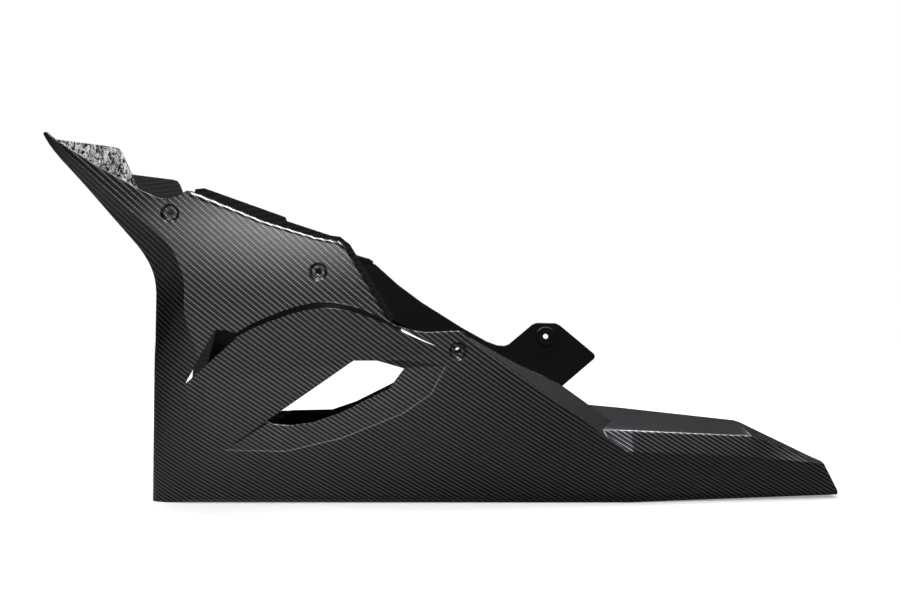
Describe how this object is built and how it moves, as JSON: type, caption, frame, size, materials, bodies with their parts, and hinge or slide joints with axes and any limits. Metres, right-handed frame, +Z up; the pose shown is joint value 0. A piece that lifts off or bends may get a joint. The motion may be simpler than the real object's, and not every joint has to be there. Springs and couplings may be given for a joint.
{
  "type": "motorcycle belly pan",
  "caption": "One-piece moulded carbon belly pan: V-shaped trough with swept front horns, open front, side vents, screw wells and a faceted closed tail.",
  "frame": {"origin": "middle of the bounding box at the flat belly, which lies on Z = 0", "axes": "+X to the rear of the machine, +Y to its right-hand side, +Z up"},
  "size_m": [0.8306, 0.337, 0.3805],
  "materials": {
    "carbon_laminate": "clear-coated twill carbon fibre laminate, gloss"
  },
  "bodies": {
    "root": {"belly_pan": "carbon_laminate"}
  },
  "joints": []
}
